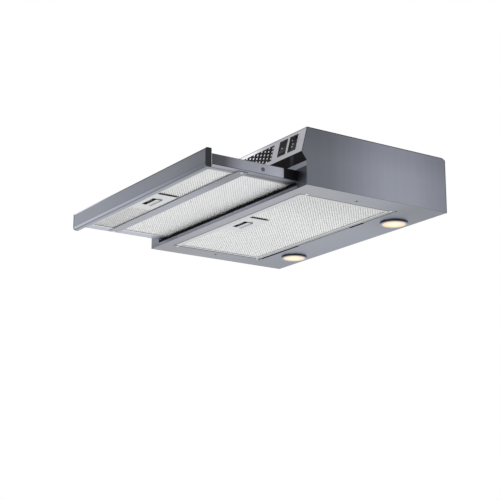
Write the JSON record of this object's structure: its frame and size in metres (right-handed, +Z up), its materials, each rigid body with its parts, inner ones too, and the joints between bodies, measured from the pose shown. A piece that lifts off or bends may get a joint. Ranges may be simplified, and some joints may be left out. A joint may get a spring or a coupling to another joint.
{
  "type": "pull out range hood",
  "caption": "Slim under-cabinet range hood with a pull out filter tray, front vent slots, rocker switches, round lamps and a top duct collar.",
  "frame": {"origin": "middle of the lower edge of the casing's back, which stands against the wall", "axes": "+X to the right seen from the front, +Y towards the wall, +Z up"},
  "size_m": [0.598, 0.5666, 0.159],
  "materials": {
    "side_steel": "brushed stainless steel, fine vertical grain, satin",
    "casing_steel": "brushed stainless steel, satin",
    "panel_steel": "brushed stainless steel, bright satin",
    "soffit_black": "black, satin",
    "duct_plastic": "moulded plastic, matt",
    "switch_plastic": "moulded plastic, satin",
    "rocker_plastic": "moulded plastic, satin, pale marks",
    "frame_aluminium": "folded sheet, satin",
    "mesh_aluminium": "expanded mesh, bright",
    "latch_aluminium": "sheet, satin",
    "trim_metal": "satin ring",
    "lamp_lens": "clear over warm white light",
    "lamp_metal": "die cast, matt",
    "galvanised": "galvanised sheet, dull",
    "bright_screw": "plated, bright",
    "dark_screw": "blackened, satin",
    "motor_metal": "die cast, matt",
    "collar_plastic": "moulded plastic, matt",
    "damper_sheet": "thin sheet, satin",
    "white_plastic": "moulded plastic, matt",
    "bar_steel": "brushed stainless steel, grain along the bar",
    "cap_plastic": "moulded plastic, satin",
    "tray_steel": "brushed stainless steel, satin",
    "runner_plastic": "moulded nylon, satin"
  },
  "bodies": {
    "casing": {"side_panel_left": "side_steel", "side_panel_right": "side_steel", "top_panel": "casing_steel", "back_panel": "casing_steel", "bottom_pan": "casing_steel", "front_frame": "casing_steel", "soffit": "soffit_black", "control_panel": "panel_steel", "recirculation_duct": "duct_plastic", "fan_switch_housing": "switch_plastic", "light_switch_housing": "switch_plastic", "lamp_trim_left": "trim_metal", "lamp_trim_right": "trim_metal", "lamp_lens_left": "lamp_lens", "lamp_lens_right": "lamp_lens", "lamp_module_left": "lamp_metal", "lamp_module_right": "lamp_metal", "guide_left": "galvanised", "guide_right": "galvanised", "pan_screws": "bright_screw", "seam_screws": "dark_screw", "blower_scroll": "duct_plastic", "blower_cover": "duct_plastic", "blower_motor": "motor_metal", "outlet_plenum": "duct_plastic", "duct_collar": "collar_plastic", "damper_rod": "bright_screw", "lamp_driver": "white_plastic", "terminal_box": "white_plastic", "terminal_cover": "white_plastic", "motor_capacitor": "white_plastic", "cable_gland": "collar_plastic", "collar_flange": "collar_plastic"},
    "tray": {"tray_front_bar": "bar_steel", "bar_cap_left": "cap_plastic", "bar_cap_right": "cap_plastic", "tray_front_rail": "tray_steel", "tray_side_left": "tray_steel", "tray_side_right": "tray_steel", "tray_runner_left": "runner_plastic", "tray_runner_right": "runner_plastic", "tray_cross_bar": "tray_steel", "tray_rear_bar": "tray_steel", "tray_stop_screws": "dark_screw", "cross_bar_screws": "bright_screw", "front_filter_frame": "frame_aluminium", "front_filter_mesh": "mesh_aluminium", "front_latch_plate": "latch_aluminium", "rear_filter_frame": "frame_aluminium", "rear_filter_mesh": "mesh_aluminium"},
    "tray_latch": {"front_latch_slider": "latch_aluminium"},
    "main_filter": {"main_filter_frame": "frame_aluminium", "main_filter_mesh": "mesh_aluminium", "main_latch_plate": "latch_aluminium"},
    "main_latch": {"main_latch_slider": "latch_aluminium"},
    "fan_key": {"fan_rocker": "rocker_plastic"},
    "light_key": {"light_rocker": "rocker_plastic"},
    "rotor": {"impeller": "duct_plastic"},
    "front_flap": {"damper_front": "damper_sheet"},
    "rear_flap": {"damper_rear": "damper_sheet"}
  },
  "joints": [
    {"name": "tray_slide", "type": "slide", "parent": "casing", "child": "tray", "axis": [0, 1, 0], "range_m": [0, 0.1975]},
    {"name": "tray_latch_slide", "type": "slide", "parent": "tray", "child": "tray_latch", "axis": [0, 1, 0], "range_m": [0, 0.004], "stiffness_N_per_m": 300, "springref_m": -0.003},
    {"name": "main_filter_tilt", "type": "hinge", "parent": "casing", "child": "main_filter", "pos_m": [0, -0.0975, 0.0003], "axis": [1, 0, 0], "range_deg": [0, 75]},
    {"name": "main_latch_slide", "type": "slide", "parent": "main_filter", "child": "main_latch", "axis": [0, 1, 0], "range_m": [0, 0.004], "stiffness_N_per_m": 300, "springref_m": -0.003},
    {"name": "fan_rocker_tilt", "type": "hinge", "parent": "casing", "child": "fan_key", "pos_m": [0.2261, -0.35895, 0.09184], "axis": [1, 0, 0], "range_deg": [-8, 8]},
    {"name": "light_rocker_tilt", "type": "hinge", "parent": "casing", "child": "light_key", "pos_m": [0.2608, -0.35895, 0.09184], "axis": [1, 0, 0], "range_deg": [-16, 0]},
    {"name": "impeller_spin", "type": "hinge", "parent": "casing", "child": "rotor", "pos_m": [-0.03301, -0.23199, 0.08], "axis": [0, 0, 1], "continuous": true},
    {"name": "front_damper_swing", "type": "hinge", "parent": "casing", "child": "front_flap", "pos_m": [0, -0.082, 0.128], "axis": [-1, 0, 0], "range_deg": [0, 75]},
    {"name": "rear_damper_swing", "type": "hinge", "parent": "casing", "child": "rear_flap", "pos_m": [0, -0.082, 0.128], "axis": [1, 0, 0], "range_deg": [0, 75]}
  ]
}
